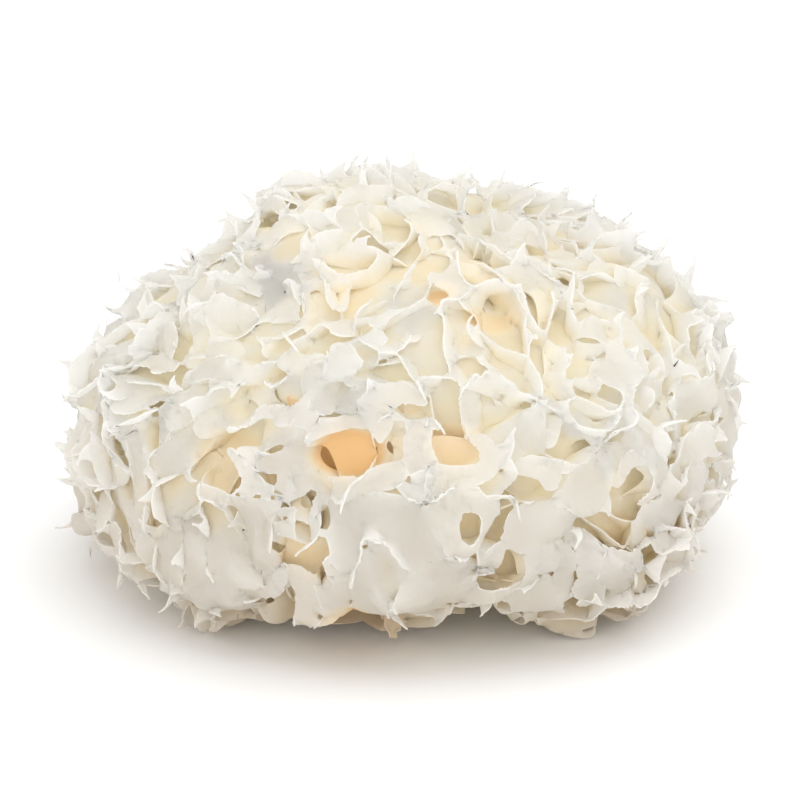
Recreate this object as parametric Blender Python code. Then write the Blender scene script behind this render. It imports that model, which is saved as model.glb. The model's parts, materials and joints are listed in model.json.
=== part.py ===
"""A dried head of snow fungus, resting on its trimmed base.

The head grew as one piece: papery fronds fan out from a small base, fuse where they touch and leave
deep pockets between them. The solid here is that one piece, with the dome that the frond tips reach,
the pockets sunk into it, the ragged ridges between the pockets and the feet that it rests on.
+Z is up, the face seen first looks along -Y, and the origin is the middle of the trimmed base.
"""

import math
import random

import bmesh
import bpy
from mathutils import Vector, noise

# Driving dimensions, in metres
GROWTH_CENTRE_HEIGHT = 0.022
BASE_RADIUS = 0.011
UNDERSIDE_RECESS = 0.0040
FOOT_RADIUS = 0.040
RAGGED_HEIGHT = 0.0024
LUMP_HEIGHT = 0.0018
LUMP_SIZE = 0.026
LUMP_PLACE = Vector((4.1, 0.7, 2.3))
RAGGED_SIZE = 0.0045
RAGGED_PLACE = Vector((1.3, 5.2, 0.4))
WALL_RAGGED_HEIGHT = 0.2 * RAGGED_HEIGHT
RIDGE_BOW = 0.25
RIDGE_BOW_STEP = 7.1

# The recess starts this far from the middle of the base and is full this much further out
RECESS_START = 1.15 * BASE_RADIUS
RECESS_SLOPE = 0.005

# The feet and arches start this far inside the foot radius
FOOT_SLOPE = 0.008

# How dull and what colour the fronds are, and the turn in degrees that shows as a sharp edge
FROND_COLOUR = (0.86, 0.82, 0.72, 1.0)
FROND_ROUGHNESS = 0.62
SHARP_TURN = 40

# Below this a direction counts as straight up or down
NEARLY_UPRIGHT = 1e-6

# Reach of the frond tips from the growth centre, in metres, at these heights in degrees above level
PROFILE_LEVELS = (-90, -40, -26, -12, 0, 12, 25, 40, 55, 70, 90)
RIGHT_REACH = (0.046, 0.047, 0.0515, 0.0540, 0.0565, 0.0575, 0.0545, 0.0500, 0.0425, 0.0400, 0.0435)
LEFT_REACH = (0.046, 0.046, 0.0505, 0.0560, 0.0550, 0.0525, 0.0480, 0.0460, 0.0460, 0.0475, 0.0435)
FRONT_REACH = (0.041, 0.043, 0.0435, 0.0480, 0.0520, 0.0530, 0.0520, 0.0490, 0.0460, 0.0445, 0.0435)
BACK_REACH = (0.042, 0.044, 0.0470, 0.0510, 0.0520, 0.0520, 0.0510, 0.0490, 0.0460, 0.0435, 0.0435)

# Where fronds reach further than the profiles: bearing and height, half width in degrees, and extra reach
BULGES = (
    (43, -24, 30, 0.0070),
    (-44, -26, 26, 0.0045),
    (158, 72, 26, -0.0015),
    (-150, 66, 28, 0.0025),
)

# Arches between the feet: bearing from the front, half width in degrees, and height in metres
ARCHES = (
    (29, 11, 0.0042),
    (-21, 7, 0.0034),
    (-38, 5, 0.0026),
    (68, 12, 0.0040),
    (104, 10, 0.0045),
    (141, 13, 0.0038),
    (178, 10, 0.0045),
    (-146, 12, 0.0040),
    (-110, 10, 0.0036),
    (-76, 12, 0.0045),
)

# The large pockets on the front: bearing from the front and height in degrees, width and depth in metres
FRONT_POCKETS = (
    (-11, 17, 0.0110, 0.0130),
    (12, 18, 0.0110, 0.0095),
    (-43, 10, 0.0120, 0.0085),
    (-25, 1, 0.0095, 0.0090),
    (-22, -14, 0.0100, 0.0080),
    (21, 3, 0.0100, 0.0085),
    (31, -10, 0.0110, 0.0070),
    (57, 10, 0.0110, 0.0065),
    (7, 48, 0.0110, 0.0080),
    (27, 42, 0.0120, 0.0065),
    (-15, 37, 0.0110, 0.0075),
    (-29, 25, 0.0095, 0.0055),
    (-30, 55, 0.0110, 0.0060),
    (-62, -3, 0.0105, 0.0055),
)

# The pockets that fill the rest of the dome, and the ones round the base underneath
POCKET_SEED = 7
POCKET_COUNT = 138
POCKET_TRIES = 60
LOWEST_POCKET = -24
POCKET_WIDTHS = (0.0085, 0.0115)
POCKET_DEPTHS = (0.0030, 0.0065)
UNDER_POCKETS = 10
UNDER_DEPTH = 0.0040

# How far the pockets round the base stray from even spacing, and how fast that changes from one to the next
UNDER_STRAY = 0.15
UNDER_STRAY_STEP = 5.3

# Rings of each pocket: share of the way from ridge to middle, and share of the pocket's depth
POCKET_RINGS = ((0.20, 0.45), (0.55, 0.92))


def direction(bearing, height):
    """The unit vector at a bearing round from the front, positive to the right, and a height above level."""
    around, up = math.radians(bearing), math.radians(height)
    return Vector((math.sin(around) * math.cos(up), -math.cos(around) * math.cos(up), math.sin(up)))


def smooth_step(low, high, value):
    """0 below low and 1 above high, with a smooth rise between them."""
    share = min(1.0, max(0.0, (value - low) / (high - low)))
    return share * share * (3 - 2 * share)


def along_profile(reaches, height):
    """The reach at a height in degrees, on a smooth curve through a profile's own points."""
    for index in range(len(PROFILE_LEVELS) - 1):
        low, high = PROFILE_LEVELS[index], PROFILE_LEVELS[index + 1]
        if height <= high:
            break
    share = min(1.0, max(0.0, (height - low) / (high - low)))
    before = reaches[max(index - 1, 0)]
    after = reaches[min(index + 2, len(reaches) - 1)]
    start, end = reaches[index], reaches[index + 1]
    slope_in = (end - before) / 2
    slope_out = (after - start) / 2
    square, cube = share * share, share ** 3
    return (
        start * (2 * cube - 3 * square + 1)
        + slope_in * (cube - 2 * square + share)
        + end * (3 * square - 2 * cube)
        + slope_out * (cube - square)
    )


def frond_reach(way):
    """How far the frond tips reach in this direction, before pockets and ragged edges."""
    height = math.degrees(math.asin(max(-1.0, min(1.0, way.z))))
    flat = math.hypot(way.x, way.y)
    across = way.x / flat if flat > NEARLY_UPRIGHT else 0.0
    deep = way.y / flat if flat > NEARLY_UPRIGHT else 1.0
    side = RIGHT_REACH if across > 0 else LEFT_REACH
    face = BACK_REACH if deep > 0 else FRONT_REACH
    reach = along_profile(side, height) * across ** 2 + along_profile(face, height) * deep ** 2
    for bearing, level, half_width, extra in BULGES:
        apart = math.degrees(way.angle(direction(bearing, level)))
        reach += extra * (1 - smooth_step(0.0, half_width, apart))
    return reach + LUMP_HEIGHT * noise.noise(way * reach / LUMP_SIZE + LUMP_PLACE)


def scatter_pockets():
    """Every pocket as (direction, depth). The base comes first, then the pockets round it, then the dome's."""
    pockets = [(Vector((0, 0, -1)), 0.0, 2 * BASE_RADIUS)]
    base_edge = math.degrees(math.atan2(BASE_RADIUS, GROWTH_CENTRE_HEIGHT))
    for index in range(UNDER_POCKETS):
        stray = UNDER_STRAY * math.sin(UNDER_STRAY_STEP * index)
        way = direction(360 * (index + stray) / UNDER_POCKETS, 2 * base_edge - 90)
        pockets.append((way, UNDER_DEPTH, POCKET_WIDTHS[0]))
    for bearing, height, width, depth in FRONT_POCKETS:
        pockets.append((direction(bearing, height), depth, width))
    chance = random.Random(POCKET_SEED)
    lowest = math.sin(math.radians(LOWEST_POCKET))
    for _ in range(POCKET_COUNT):
        width = chance.uniform(*POCKET_WIDTHS)
        best, best_room = None, -math.inf
        for _ in range(POCKET_TRIES):
            rise = chance.uniform(lowest, 1.0)
            way = direction(chance.uniform(-180, 180), math.degrees(math.asin(rise)))
            reach = frond_reach(way)
            room = min(reach * (way - other[0]).length - (width + other[2]) / 2 for other in pockets)
            if room > best_room:
                best, best_room = way, room
        pockets.append((best, chance.uniform(*POCKET_DEPTHS), width))
    return [(way, depth) for way, depth, _ in pockets]


def underside_height(across, deep):
    """Height of the underside above the surface it rests on: nothing on the trimmed base and on the feet."""
    from_axis = math.hypot(across, deep)
    bearing = math.degrees(math.atan2(across, -deep))
    arch = 0.0
    for middle, half_width, height in ARCHES:
        apart = abs((bearing - middle + 180) % 360 - 180)
        arch = max(arch, height * (1 - smooth_step(0.0, half_width, apart)))
    recess = UNDERSIDE_RECESS * smooth_step(RECESS_START, RECESS_START + RECESS_SLOPE, from_axis)
    return recess + (arch - recess) * smooth_step(FOOT_RADIUS - FOOT_SLOPE, FOOT_RADIUS, from_axis)


def surface_point(way, sink, ragged):
    """The point in this direction that lies this far in from the frond tips, no lower than the underside."""
    reach = frond_reach(way)
    jag = noise.noise(way * reach / RAGGED_SIZE + RAGGED_PLACE)
    distance = reach - sink + ragged * jag
    point = Vector((0, 0, GROWTH_CENTRE_HEIGHT)) + way * distance
    if way.z >= 0:
        return point
    to_floor = -GROWTH_CENTRE_HEIGHT / way.z
    floor = underside_height(way.x * to_floor, way.y * to_floor)
    if point.z > floor:
        return point
    to_underside = (GROWTH_CENTRE_HEIGHT - floor) / -way.z
    return Vector((way.x * to_underside, way.y * to_underside, floor))


def pocket_net(pockets):
    """The ridges between pockets: the direction of each ridge point, and each pocket's ridge points in order."""
    hull = bmesh.new()
    for way, _ in pockets:
        hull.verts.new(way)
    bmesh.ops.convex_hull(hull, input=hull.verts[:])
    bmesh.ops.recalc_face_normals(hull, faces=hull.faces[:])
    hull.faces.index_update()
    hull.edges.index_update()
    ways = {("corner", face.index): face.normal.copy() for face in hull.faces}
    for edge in hull.edges:
        first, second = (face.normal for face in edge.link_faces)
        aside = (first + second).cross(first - second)
        bow = RIDGE_BOW * math.sin(RIDGE_BOW_STEP * edge.index)
        ways["between", edge.index] = (first + second + bow * aside).normalized()
    rings = []
    for vertex in hull.verts:
        ring = []
        start = step = vertex.link_loops[0]
        while not ring or step is not start:
            ring.append(("corner", step.face.index))
            step = step.link_loop_prev
            ring.append(("between", step.edge.index))
            step = step.link_loop_radial_next
        rings.append(ring)
    hull.free()
    return ways, rings


def fungus_material():
    """Dry ivory-white frond, dull and slightly warm."""
    material = bpy.data.materials.new("dried_frond")
    material.use_nodes = True
    shader = material.node_tree.nodes["Principled BSDF"]
    shader.inputs["Base Color"].default_value = FROND_COLOUR
    shader.inputs["Roughness"].default_value = FROND_ROUGHNESS
    shader.inputs["Metallic"].default_value = 0.0
    material.diffuse_color = FROND_COLOUR
    return material


def add_pocket(head, ridge, middle, depth):
    """Faces from a pocket's ridge down its walls to its floor."""
    outer = ridge
    for inward, down in POCKET_RINGS:
        inner = []
        for vertex, way in ridge_ways(ridge):
            inner_way = way.lerp(middle, inward).normalized()
            inner.append(head.verts.new(surface_point(inner_way, down * depth, WALL_RAGGED_HEIGHT)))
        count = len(outer)
        for index in range(count):
            after = (index + 1) % count
            head.faces.new((outer[index], outer[after], inner[after], inner[index]))
        outer = inner
    floor = head.verts.new(surface_point(middle, depth, 0.0))
    for index in range(len(outer)):
        head.faces.new((outer[index], outer[(index + 1) % len(outer)], floor))


def ridge_ways(ridge):
    """Each ridge vertex with its direction from the growth centre."""
    centre = Vector((0, 0, GROWTH_CENTRE_HEIGHT))
    return [(vertex, (vertex.co - centre).normalized()) for vertex in ridge]


def make_head():
    """The whole head as one closed solid."""
    pockets = scatter_pockets()
    ways, rings = pocket_net(pockets)
    head = bmesh.new()
    ridge_points = {key: head.verts.new(surface_point(way, 0.0, RAGGED_HEIGHT)) for key, way in ways.items()}
    for index, ((middle, depth), keys) in enumerate(zip(pockets, rings)):
        ridge = [ridge_points[key] for key in keys]
        if index == 0:
            head.faces.new(ridge)
        else:
            add_pocket(head, ridge, middle, depth)
    bmesh.ops.triangulate(head, faces=head.faces[:], quad_method="SHORT_EDGE")
    bmesh.ops.recalc_face_normals(head, faces=head.faces[:])
    mesh = bpy.data.meshes.new("snow_fungus")
    head.to_mesh(mesh)
    head.free()
    mesh.shade_smooth()
    mesh.set_sharp_from_angle(angle=math.radians(SHARP_TURN))
    part = bpy.data.objects.new("snow_fungus", mesh)
    bpy.context.scene.collection.objects.link(part)
    part.data.materials.append(fungus_material())
    return part


for leftover in list(bpy.data.objects):
    bpy.data.objects.remove(leftover)
make_head()
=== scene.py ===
"""Looks for a dried head of snow fungus, grown as thin fused fronds round a small trimmed base.

The fronds are the walls between the cells of an uneven foam, which lie in one layer under the dome
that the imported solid's ridges reach. A membrane closes many cells, reaches over part of others and is
missing from the rest. Small pointed hooks stand on the free edges.
"""

import json
import math

import bpy
import numpy as np
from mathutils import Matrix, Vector
from mathutils.bvhtree import BVHTree

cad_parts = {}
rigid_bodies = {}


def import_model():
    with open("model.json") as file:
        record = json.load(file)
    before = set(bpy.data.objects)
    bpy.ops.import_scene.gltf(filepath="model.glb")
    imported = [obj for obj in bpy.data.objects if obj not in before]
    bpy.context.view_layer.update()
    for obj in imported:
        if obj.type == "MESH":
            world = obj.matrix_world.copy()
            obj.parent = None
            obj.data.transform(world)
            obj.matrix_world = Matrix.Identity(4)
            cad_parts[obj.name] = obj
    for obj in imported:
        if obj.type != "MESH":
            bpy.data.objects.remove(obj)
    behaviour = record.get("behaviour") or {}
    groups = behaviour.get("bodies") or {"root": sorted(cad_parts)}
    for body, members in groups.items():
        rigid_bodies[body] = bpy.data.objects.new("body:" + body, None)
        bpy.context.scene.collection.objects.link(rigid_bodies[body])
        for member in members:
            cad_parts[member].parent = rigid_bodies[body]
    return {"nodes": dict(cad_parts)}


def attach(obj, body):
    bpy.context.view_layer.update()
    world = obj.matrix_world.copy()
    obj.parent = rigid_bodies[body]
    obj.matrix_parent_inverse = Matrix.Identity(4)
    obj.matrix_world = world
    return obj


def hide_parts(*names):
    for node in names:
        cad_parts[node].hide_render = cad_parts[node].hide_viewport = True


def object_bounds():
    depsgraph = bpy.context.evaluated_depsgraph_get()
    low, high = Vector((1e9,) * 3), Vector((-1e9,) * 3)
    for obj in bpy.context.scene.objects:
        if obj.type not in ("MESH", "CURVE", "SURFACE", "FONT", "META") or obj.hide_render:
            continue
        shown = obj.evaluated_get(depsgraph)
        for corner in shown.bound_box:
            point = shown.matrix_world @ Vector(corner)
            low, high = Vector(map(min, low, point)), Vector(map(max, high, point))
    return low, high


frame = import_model()
CAD_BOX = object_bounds()

bl_info = {
    "name": "Dried snow fungus",
    "version": (1, 0, 0),
    "blender": (4, 5, 0),
    "location": "3D View > Sidebar > Fungus",
    "description": "Grows the fused papery fronds of a dried snow fungus and sets its stage",
    "category": "Add Mesh",
}

NODE = "snow_fungus"
BODY = "root"
GROWTH_CENTRE = np.array([0.0, 0.0, 0.022])

# Added to lengths that may be zero before they divide something
TINY = 1e-9

# Labels of what isn't a cell
OUTSIDE, UNDER, CORE = 0, 1, 2
FIRST_CELL = 3

# The grid that the foam is worked out on
GRID_LOW = np.array([-0.0600, -0.0560, -0.0014])
GRID_HIGH = np.array([0.0600, 0.0560, 0.0710])

# The dome: directions tried, how far in degrees a tip counts, and the map's step in degrees
DOME_WAYS = 5000
TIP_SPREAD = 9.0
DOME_BLUR = 4.5
DOME_STEP = 2.0
TIP_GROWTH = 0.0019

# Pockets on the front: bearing and height in degrees, width and height in metres, turn in degrees, warmth
FRONT_POCKETS = (
    (-9.6, 18, 0.0094, 0.0060, -6, 1.0),
    (-1.8, 19.5, 0.0022, 0.0034, 10, 0.55),
    (2.5, 19, 0.0050, 0.0064, 0, 0.15),
    (10, 19, 0.0076, 0.0056, 4, 0.68),
    (-33, 13, 0.0110, 0.0078, 20, 0.55),
    (-17, 9, 0.0036, 0.0052, -10, 0.4),
    (-17, 4.5, 0.0030, 0.0018, 10, 0.5),
    (-14.5, 1, 0.0032, 0.0020, 20, 0.5),
    (12, 7, 0.0044, 0.0058, 15, 0.45),
    (-18, -2, 0.0076, 0.0050, 15, 0.6),
    (19, -4, 0.0044, 0.0070, 0, 0.5),
    (-12, -16, 0.0100, 0.0060, 0, 0.9),
    (-22, 26, 0.0028, 0.0018, 30, 0.8),
    (-10, 36, 0.0026, 0.0030, 0, 0.3),
    (13, 51, 0.0034, 0.0030, 0, 0.8),
    (26, 44, 0.0084, 0.0036, 5, 0.6),
    (1, 27, 0.0040, 0.0026, 10, 0.6),
    (42, 8, 0.0070, 0.0060, 0, 0.4),
    (-54, 61, 0.0064, 0.0064, 0, 0.4),
    (-23, 59, 0.0080, 0.0050, 0, 0.35),
    (8, 60, 0.0060, 0.0060, 0, 0.4),
    (39, 62, 0.0074, 0.0070, 0, 0.35),
    (17, -8, 0.0032, 0.0026, 0, 0.5),
)

# Broad smooth sheets: bearing and height in degrees, half their width and height in degrees
BROAD_SHEETS = (
    (-1, 8, 12, 8),
    (-8, -2, 5, 8),
    (3, -3, 4, 9),
    (12, -2, 7, 11),
    (-38, -8, 12, 9),
    (-24, 5, 5, 11),
    (-12, 27, 9, 5),
    (30, -6, 7, 9),
    (25, 2, 8, 6),
)

# Warm pockets are partly the fronds' own warmer tone and partly painted glow and shade, warmer deeper in
# Areas whose pockets are warm: bearing and height in degrees, how far they spread in degrees, warmth
WARM_AREAS = (
    (-14, 50, 16, 0.30),
    (14, 52, 16, 0.42),
    (-3, 33, 13, 0.34),
    (-4, 28, 7, 0.30),
    (-30, 13, 9, 0.34),
    (11, 20, 8, 0.30),
    (-14, -6, 13, 0.34),
    (18, -6, 13, 0.30),
    (48, -2, 14, 0.24),
    (-45, -4, 14, 0.24),
    (150, 30, 20, 0.30),
    (-120, 10, 18, 0.26),
    (80, 40, 18, 0.28),
)

# Loose scraps: root, tip, width in metres, how far they curl, how brown they are
SCRAPS = (
    ("stray_frond", (-0.0500, -0.0050, 0.0205), (-0.0573, -0.0055, 0.0226), 0.0022, 0.0010, 0.0),
    ("torn_flake", (-0.0002, -0.0400, 0.0085), (-0.0012, -0.0418, 0.0044), 0.0030, -0.0006, 0.8),
)

# Pointed hooks on the free edges: room between them and height in metres, how much they bend along the
# edge, curl aside and droop, points of the edge on either side, rows of faces, width of the tip against
# the foot, how fast they narrow, how deep their edge may lie, and how far past the solid's box they may
# reach as a share of its size
HOOK_ROOM = (0.0050, 0.0085)
HOOK_HEIGHT = (0.0016, 0.0038)
HOOK_BEND = (0.15, 0.85)
HOOK_CURL = 0.5
HOOK_DROOP = 0.2
HOOK_SIDE = 3
HOOK_ROWS = 5
HOOK_TIP = 0.10
HOOK_TAPER = 1.2
HOOK_DEPTH = 0.0042
HOOK_SPARE = 0.022

# A hook's edge lies above this share of its distance from the growth centre, faces outwards by at least
# this, and is this far from a pocket's middle. Then how far hooks lean out and how near an edge they count
HOOK_LOWEST = -0.5
HOOK_FACING = 0.15
HOOK_CLEAR = 1.5
HOOK_LEAN = 0.6
HOOK_NEAR_EDGE = 0.7

# Cells: widths, how much longer than wide they are, depths, how much deeper wide ones lie, height of the
# lowest, and how far round its seed a cell is looked for. Lengths are in metres
CELL_WIDTH = 0.0049
WIDE_CELL = 0.0078
CELL_STRETCH = 2.0
CELL_DEPTH = (0.0020, 0.0044)
WIDE_SINK = 0.2
LOWEST_CELL = 0.002
CELL_SEARCH = 0.0085

# Scattering of cells: directions tried, where their gaps are measured as a share of the reach, and how
# their widths vary
TRIED_WAYS = 9000
GAP_REACH = 0.93
WIDTH_SPREAD = (0.75, 1.2)

# Where wide cells lie: bearing and height in degrees, and the cosines between which they fade in
FRONT_MIDDLE = (-2, -8)
FRONT_FADE = (0.72, 0.97)

# A broad sheet fades out between these shares of its half width, and lies this deep in metres
SHEET_FADE = (0.55, 1.45)
SHEET_DEPTH = 0.0022

# Membranes: depth, tilt and its limits, and least depth in metres. Then the share of cells that one
# closes, how much more that is at the sides and where it rises, the share that one partly covers, where
# those end in cell widths from the middle, and what stands for a closed and an open cell
MEMBRANE_DEPTH = (0.0024, 0.0044)
MEMBRANE_TILT = (0.0, 0.9)
TILT_LIMITS = (-0.0015, 0.0025)
MEMBRANE_LEAST = 0.0024
CLOSED_SHARE = 0.50
SIDE_CLOSED = 0.22
SIDE_FADE = (0.30, 0.65)
FLAP_SHARE = 0.28
FLAP_EDGE = (-0.25, 0.30)
CLOSED, OPEN = -9.0, 9.0

# The crown: where it begins, how much deeper membranes lie there, the share of its closed cells that are
# partly covered instead, and where those membranes end
CROWN_FADE = (0.25, 0.60)
CROWN_SINK = 0.0014
CROWN_OPENED = 0.6
CROWN_EDGE = (-0.1, 0.35)

# The front's pockets: room round the oval, depth of the membrane, and depth of the floor by warmth.
# The last two are the sine of the height and the width beyond which a pocket has no membrane
POCKET_ROOM = 0.0012
POCKET_MEMBRANE = 0.0014
FLOOR_WARMTH = (0.20, 0.40, 1.00)
FLOOR_DEPTH = (0.0030, 0.0082, 0.0048)
OPEN_HEIGHT = 0.64
OPEN_WIDTH = 0.006

# Depth of the core at the back and on the front, and height and size of its lumps, in metres
CORE_DEPTH = 0.0068
FRONT_CORE_DEPTH = 0.0096
CORE_LUMPS = (0.0010, 0.0090)

# Walls lean: size of the lean's noise, how far they droop, their lean, the depth where it is full, and
# how much less they lean in broad sheets and low on the front
LEAN_SIZE = 0.0150
DROOP = 0.35
LEAN = 0.62
LEAN_DEPTH = 0.0080
SHEET_CALM = 0.8
FRONT_CALM = 0.5

# Walls wave: height and size of the broad waves, height of the fine ones deep down, how much more that
# is near the outside, their size, and the depths between which it changes
BROAD_WAVE = (0.0016, 0.0110)
FINE_WAVE = (0.0006, 0.0009, 0.0044)
SHALLOW_FADE = (0.001, 0.007)

# Folds of membranes, as height and size in metres, and the depth of what is cut away all over
FOLDS = ((0.0007, 0.0080), (0.0003, 0.0038))
SKIN_DEPTH = 0.0009

# The underside: where rays up to it start, its top, how far above it a point counts as near it, and how
# much deeper than that distance such a point counts
BELOW_FLOOR = -0.01
UNDER_TOP = 0.0070
UNDER_REACH = 0.0110
UNDER_SINK = 0.0013

# Free edges of walls: least depth, its unevenness and its size, size of tears, how far edges dip between
# junctions and the most that counts as far from one, how much less they dip near the floor, how many have
# a notch and how deep, and how much deeper they are cut inside a pocket. Lengths are in metres
CUT_DEPTH = 0.0007
CUT_UNEVEN = (0.0010, 0.0056)
TEAR_SIZE = 0.0048
EDGE_DIP = (0.0007, 0.0032)
SPAN_MOST = 1.15
FOOT_DIP = 0.75
FOOT_HEIGHT = 0.006
NOTCH_SHARE = 0.10
NOTCH_DEPTH = 0.0045
POCKET_CUT = 0.0050

# How much tears fray the pockets' rims, the sheets, the underside's membrane and the other membranes
POCKET_TEAR = 0.10
SHEET_TEAR = 0.16
LOW_TEAR = 0.1
FLAP_TEAR = 0.08

# The sheet round each pocket on the front: strength, how far out it fades, and where on the front it is
RING_STRENGTH = 0.85
RING_FADE = (1.25, 1.9)
RING_MIDDLE = (0, 2)
RING_FRONT = (0.78, 0.9)

# Walls under a sheet that reach nearly to the outside as ribs: draws above this, and their depth
RIB_DRAW = 0.7
RIB_DEPTH = 0.0012

# The underside's membrane fades out between these heights, as shares of the distance from the centre
LOW_FADE = (-0.80, -0.60)

# Odd numbers that mix the numbers of a wall's two cells, and how many values each of its two draws has
MIXERS = (73856093, 19349663, 31)
DRAW_COUNTS = (100003, 99991)

# Walls with fewer quads than this are left out, in this many rounds
SMALLEST_WALL = 7
PRUNE_ROUNDS = 4

# Rays that test whether a wall or a core wall is seen: their number, places tried, first gap and reach
SEEN_WAYS = (26, 90)
SEEN_PLACES = (8, 20)
SEEN_GAP = 0.0006
SEEN_REACH = 0.2

# Rays that test how open a place is: their number, first gap, reach, and rounds of smoothing
OPEN_WAYS = 14
OPEN_GAP = 0.0005
OPEN_REACH = 0.12
OPEN_ROUNDS = 4

# Smoothing: rounds, rounds for edges in each, and how far edges, sheets and loose ends move in one
RELAX_ROUNDS = 10
EDGE_ROUNDS = 3
EDGE_STEP = 0.5
FILM_STEP = 0.6
END_STEP = 0.3

# Points inwards over which nearness to a free edge fades, and the turn in degrees that shows as sharp
RIM_STEPS = 5
SHARP_TURN = 48

# Ruffles: share and size of the fine ones, size of the broad ones, and how strong they are away from
# free edges and how much more on them
FINE_RUFFLE = (0.35, 0.0026)
RUFFLE_SIZE = 0.0046
INNER_RUFFLE = 0.35
EDGE_RUFFLE = 0.65
RUFFLE_FADE = (0.002, 0.006)

# Warmth of a pocket: how far past its rim it fades, the depths where it rises, and the cosine of its
# furthest reach. Then the same depths for the warm areas, size of their patches and their most
# Warmth rises with depth: partly the fronds' own tone, partly painted glow and shade
POCKET_FADE = (0.95, 1.7)
POCKET_SINK = (0.0020, 0.0045)
POCKET_SPREAD = 0.9
AREA_SINK = (0.0022, 0.0050)
PATCH_SIZE = 0.0060
PATCH_MOST = 1.6

# Depths at which a pocket counts as deep, and the shares of open sky between which a place is shut in
# Both set how much painted shade a frond's colour gets in deep and shut-in places
DEEP_FADE = (0.001, 0.009)
SHUT_IN_FADE = (0.02, 0.42)

# Middles of the pieces that the fronds are split into: bearing and height in degrees
PIECE_MIDDLES = (
    (0, 6), (62, 10), (118, 10), (180, 10), (-118, 10), (-62, 10), (-90, 70), (90, 70), (0, -85),
)

# The trimmed base, and how brown the fronds are and where that fades, in metres: out and up from the
# base, up from the floor, faintly up the sides and more so at the left, and round a hollow by the base
# The base is brown itself; up from the floor and up the sides the brown is partly painted shade, and the more
# at the left and round the hollow is painted shade
BASE_RADIUS = 0.0115
BASE_FADE = (0.010, 0.022)
BASE_RISE = (0.002, 0.010)
LOW_BROWN_AND_SHADE = 0.50
LOW_TOP = 0.0170
FAINT_BROWN_AND_SHADE = 0.28
LEFT_PAINTED_SHADE = 0.08
LEFT_FADE = (0.012, 0.030)
FAINT_TOP = 0.044
SHADED_HOLLOW = (-0.0100, -0.0375, 0.0040)
HOLLOW_PAINTED_SHADE = 0.90
HOLLOW_FADE = (0.006, 0.014)

# The scraps' rows and columns of faces, how ragged their sides are, how narrow they are at the ends and
# how much wider between, where along them that bulge starts and how fast it passes, and how they curl
SCRAP_ROWS = 12
SCRAP_COLUMNS = 6
SCRAP_RAGGED = 0.22
SCRAP_NARROW = 0.35
SCRAP_WIDER = 0.65
BULGE_START = 0.12
BULGE_PACE = 0.95
CURL_ALONG = 2
CURL_ACROSS = 0.8
CURL_DOWN = 0.4

# Marks that the finish reads on the scraps, besides how brown they are: how much painted shade and painted
# edge highlight they get
SCRAP_DEPTH = 0.15
SCRAP_EDGE = 0.3
SCRAP_SHUT_IN = 0.3

# The finish of a frond: scales of its clouds and crinkles, what makes a place look shaded with painted
# shade, where honey and warm colours come in, how much painted highlight edges get, and how clouds change the
# brown
CLOUD_SCALE = 55.0
CRINKLE_SCALE = 800.0
DEEP_SHADE = 0.75
SHUT_IN_SHADE = 0.65
CLOUD_SHADE = 0.4
SHADE_RANGE = (0.15, 1.02)
HONEY_RANGE = (0.0, 0.6)
WARM_RANGE = (0.45, 1.0)
EDGE_HIGHLIGHT = 0.55
BROWN_AND_SHADE_CLOUD = (0.6, 0.8)

# How much less light passes where a frond is warm, shaded or brown, how strong and high its crinkles
# are, and its roughness with how much the crinkles add
WARM_DIM = 0.7
SHADE_DIM = 0.45
BROWN_AND_SHADE_DIM = 0.6
CRINKLE_STRENGTH = 0.35
CRINKLE_HEIGHT = 0.0004
FROND_ROUGHNESS = (0.50, 0.25)

# The floor: width in metres, roughness, shine, and size of its faint clouds with how dark they are
FLOOR_WIDTH = 6.0
FLOOR_ROUGHNESS = 0.9
FLOOR_SHINE = 0.1
FLOOR_CLOUD_SCALE = 40.0
FLOOR_CLOUD = 0.99

# What the camera and both lights look at, the picture's width in pixels, and the row of the head's foot
LOOK_AT = Vector((0.0, 0.0, 0.030))
PICTURE_WIDTH = 800
FOOT_ROW = 564

# The lights: name, the setting that holds its power, width and place in metres
LIGHTS = (
    ("key", "key_power", 0.9, (0.20, -0.10, 0.85)),
    ("fill", "fill_power", 0.7, (-0.10, -0.85, 0.42)),
)


def smooth_step(low, high, value):
    """0 below low and 1 above high, with a smooth rise between them."""
    share = np.clip((value - low) / (high - low), 0.0, 1.0)
    return share * share * (3 - 2 * share)


def ways_at(bearing, height):
    """Unit vectors at bearings round from the front and heights above level, both in degrees."""
    around, up = np.radians(bearing), np.radians(height)
    flat = np.cos(up)
    return np.stack([np.sin(around) * flat, -np.cos(around) * flat, np.sin(up)], axis=-1)


def even_ways(count):
    """Directions spread evenly over the sphere."""
    index = np.arange(count) + 0.5
    up = 1 - 2 * index / count
    around = index * math.pi * (1 + math.sqrt(5))
    flat = np.sqrt(1 - up * up)
    return np.stack([flat * np.cos(around), flat * np.sin(around), up], axis=1)


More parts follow.
